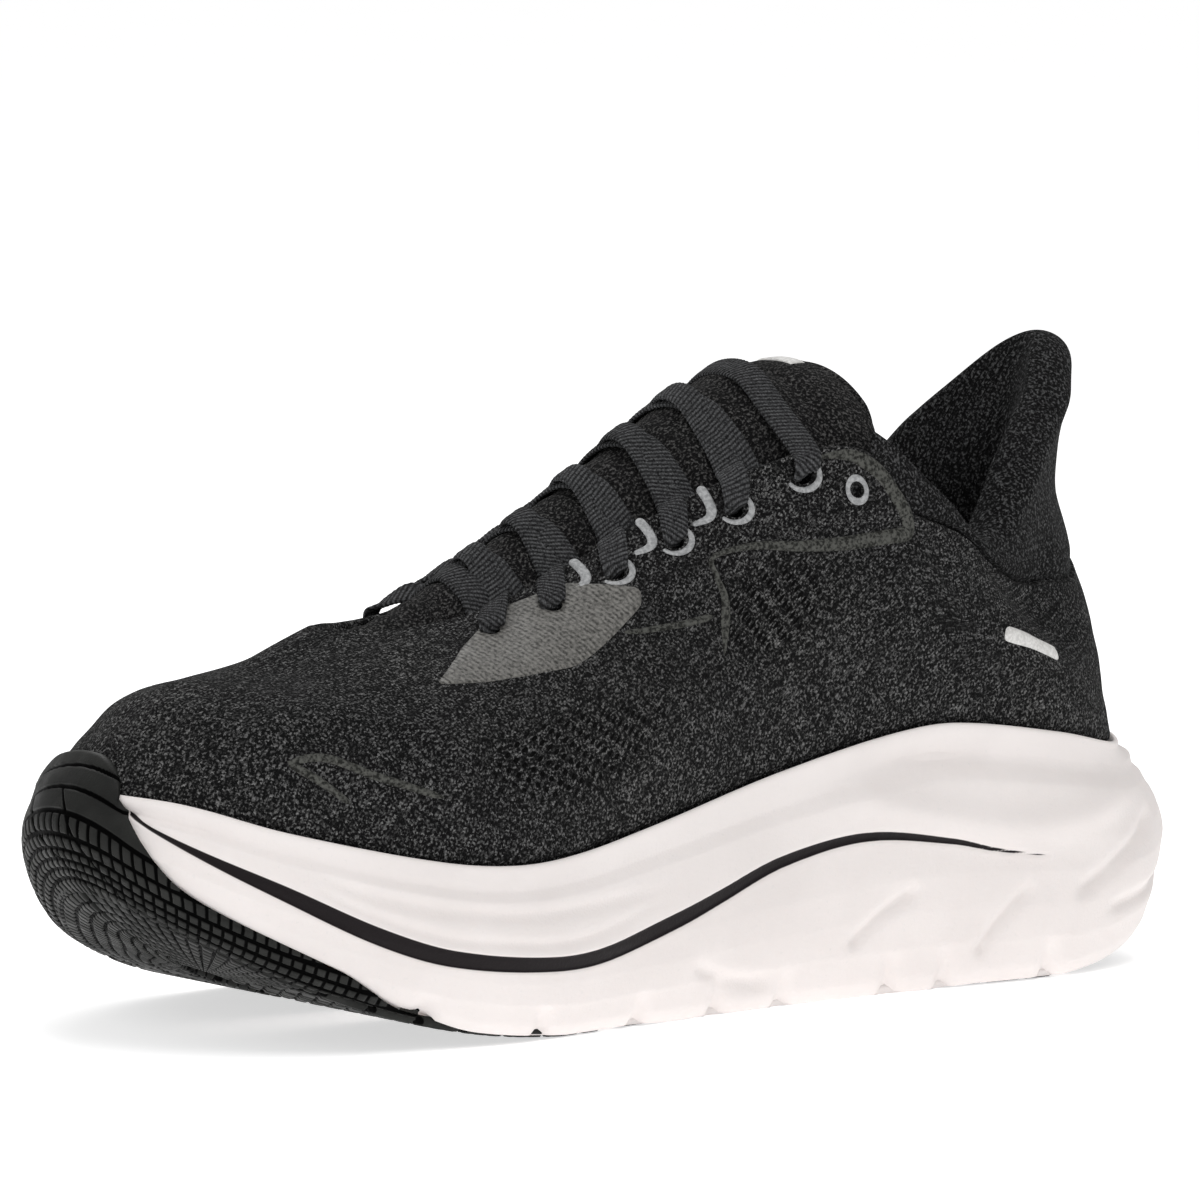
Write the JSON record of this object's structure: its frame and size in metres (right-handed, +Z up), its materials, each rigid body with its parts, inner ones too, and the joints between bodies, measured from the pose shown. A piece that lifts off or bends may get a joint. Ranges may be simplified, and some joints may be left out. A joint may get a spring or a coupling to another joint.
{
  "type": "running shoe",
  "caption": "Right-foot running shoe with a thick rockered foam midsole, rubber outsole pads, knitted upper, padded collar and tongue, and flat laces.",
  "frame": {"origin": "centre of the shoe's plan box, on the ground it stands on", "axes": "+X towards the toe, +Y towards the medial (inner) side, +Z up"},
  "size_m": [0.3018, 0.1121, 0.1404],
  "materials": {
    "foam_white": "matte foam",
    "rubber_black": "matte",
    "board": "matte",
    "sockliner": "matte",
    "knit": "heathered knit",
    "stiffener": "matte",
    "pad_foam": "matte foam",
    "lining": "fine mesh",
    "print_grey": "matte print",
    "trim": "matte",
    "lace": "ribbed",
    "aglet": "gloss",
    "mark_white": "satin",
    "reflective": "reflective weave"
  },
  "bodies": {
    "shoe": {"midsole": "foam_white", "toe_bumper": "rubber_black", "outsole_forefoot_medial": "rubber_black", "outsole_forefoot_lateral": "rubber_black", "outsole_ball_medial": "rubber_black", "outsole_ball_lateral": "rubber_black", "outsole_heel_medial": "rubber_black", "outsole_heel_lateral": "rubber_black", "outsole_heel_rear": "rubber_black", "strobel_board": "board", "sockliner_front": "sockliner", "upper_knit": "knit", "toe_puff": "stiffener", "heel_counter": "stiffener", "collar_foam": "pad_foam", "collar_cover": "lining", "eyestay_medial": "knit", "eyestay_lateral": "knit", "eyelet_rings_medial": "print_grey", "eyelet_rings_lateral": "print_grey", "piping_medial": "trim", "piping_lateral": "trim", "tongue_body": "knit", "lace": "lace", "aglets": "aglet", "heel_flash_medial": "mark_white", "heel_flash_lateral": "mark_white", "side_patch_medial": "reflective", "side_patch_lateral": "reflective"},
    "tongue_end": {"tongue_top": "lining", "tongue_label": "mark_white"},
    "sockliner_end": {"sockliner_heel": "sockliner"}
  },
  "joints": [
    {"name": "tongue_fold", "type": "hinge", "parent": "shoe", "child": "tongue_end", "pos_m": [-0.0338, 0, 0.134], "axis": [0, 1, 0], "range_deg": [-2, 25], "stiffness_Nm_per_rad": 0.02},
    {"name": "sockliner_lift", "type": "hinge", "parent": "shoe", "child": "sockliner_end", "pos_m": [-0.01, 0, 0.0385], "axis": [0, 1, 0], "range_deg": [0, 12], "stiffness_Nm_per_rad": 0.02}
  ]
}
